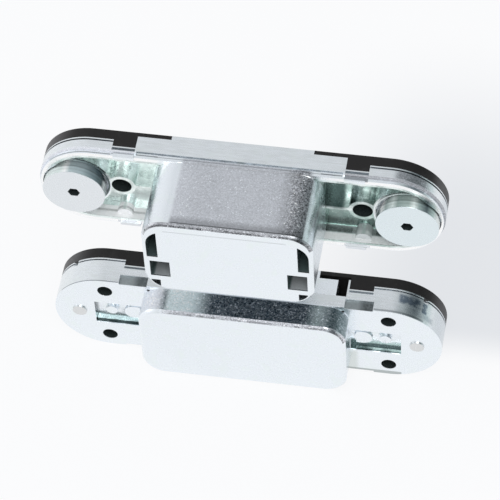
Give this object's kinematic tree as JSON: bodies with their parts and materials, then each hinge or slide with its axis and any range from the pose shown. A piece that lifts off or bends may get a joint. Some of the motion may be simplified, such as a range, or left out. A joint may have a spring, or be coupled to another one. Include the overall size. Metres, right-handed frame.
{
  "type": "concealed invisible door hinge",
  "caption": "Adjustable concealed door hinge: two rounded mortise halves joined by crossed cranked arms, shown fully open.",
  "frame": {"origin": "bottom centre of the hinge's bounding box, standing open on the frame half's long edge", "axes": "+X along the hinge's length, +Y out of the visible front faces, +Z from the frame half up to the door half"},
  "size_m": [0.111, 0.0346, 0.0838],
  "materials": {
    "zinc_casting": "bright zinc-plated die casting",
    "zinc_plate": "bright zinc plating",
    "steel": "turned steel",
    "black_plastic": "satin moulded plastic",
    "bush_plastic": "self-lubricating plastic"
  },
  "bodies": {
    "frame_half": {"frame_housing": "zinc_casting", "frame_carrier": "zinc_casting", "frame_cap_left": "black_plastic", "frame_cap_right": "black_plastic", "height_tongue_left": "zinc_plate", "height_tongue_right": "zinc_plate", "height_screw_left": "zinc_plate", "height_screw_right": "zinc_plate", "stake_left": "steel", "stake_right": "steel", "frame_pivot_pin": "steel"},
    "outer_arms": {"outer_arm_left": "zinc_casting", "outer_arm_right": "zinc_casting", "centre_pin": "steel", "door_slide_pin": "steel", "door_roller_left": "steel", "door_roller_right": "steel", "centre_washer_left": "bush_plastic", "centre_washer_right": "bush_plastic", "pivot_washer_left": "bush_plastic", "pivot_washer_right": "bush_plastic"},
    "inner_arm_set": {"inner_arm": "zinc_casting", "frame_slide_pin": "steel", "frame_roller_left": "steel", "frame_roller_right": "steel"},
    "door_half": {"door_body": "zinc_casting", "door_cap_left": "black_plastic", "door_cap_right": "black_plastic", "door_pivot_pin": "steel"},
    "foot_left": {"foot_screw_left": "zinc_plate"},
    "foot_right": {"foot_screw_right": "zinc_plate"}
  },
  "joints": [
    {"name": "outer_arm_swing", "type": "hinge", "parent": "frame_half", "child": "outer_arms", "pos_m": [0, -0.00057, 0.0224], "axis": [-1, 0, 0], "range_deg": [0, 96.22]},
    {"name": "scissor", "type": "hinge", "parent": "outer_arms", "child": "inner_arm_set", "pos_m": [0, 0.01452, 0.0425], "axis": [-1, 0, 0], "range_deg": [-11.78, 0]},
    {"name": "door_swing", "type": "hinge", "parent": "inner_arm_set", "child": "door_half", "pos_m": [0, -0.00378, 0.0588], "axis": [-1, 0, 0], "range_deg": [0, 95.56]},
    {"name": "foot_travel_left", "type": "slide", "parent": "door_half", "child": "foot_left", "axis": [0, -1, 0], "range_m": [-0.0005, 0.002]},
    {"name": "foot_travel_right", "type": "slide", "parent": "door_half", "child": "foot_right", "axis": [0, -1, 0], "range_m": [-0.0005, 0.002]}
  ],
  "couplings": [
    {"joint": "scissor", "follows": "outer_arm_swing", "ratio": -0.1223},
    {"joint": "door_swing", "follows": "outer_arm_swing", "ratio": 0.99297}
  ]
}
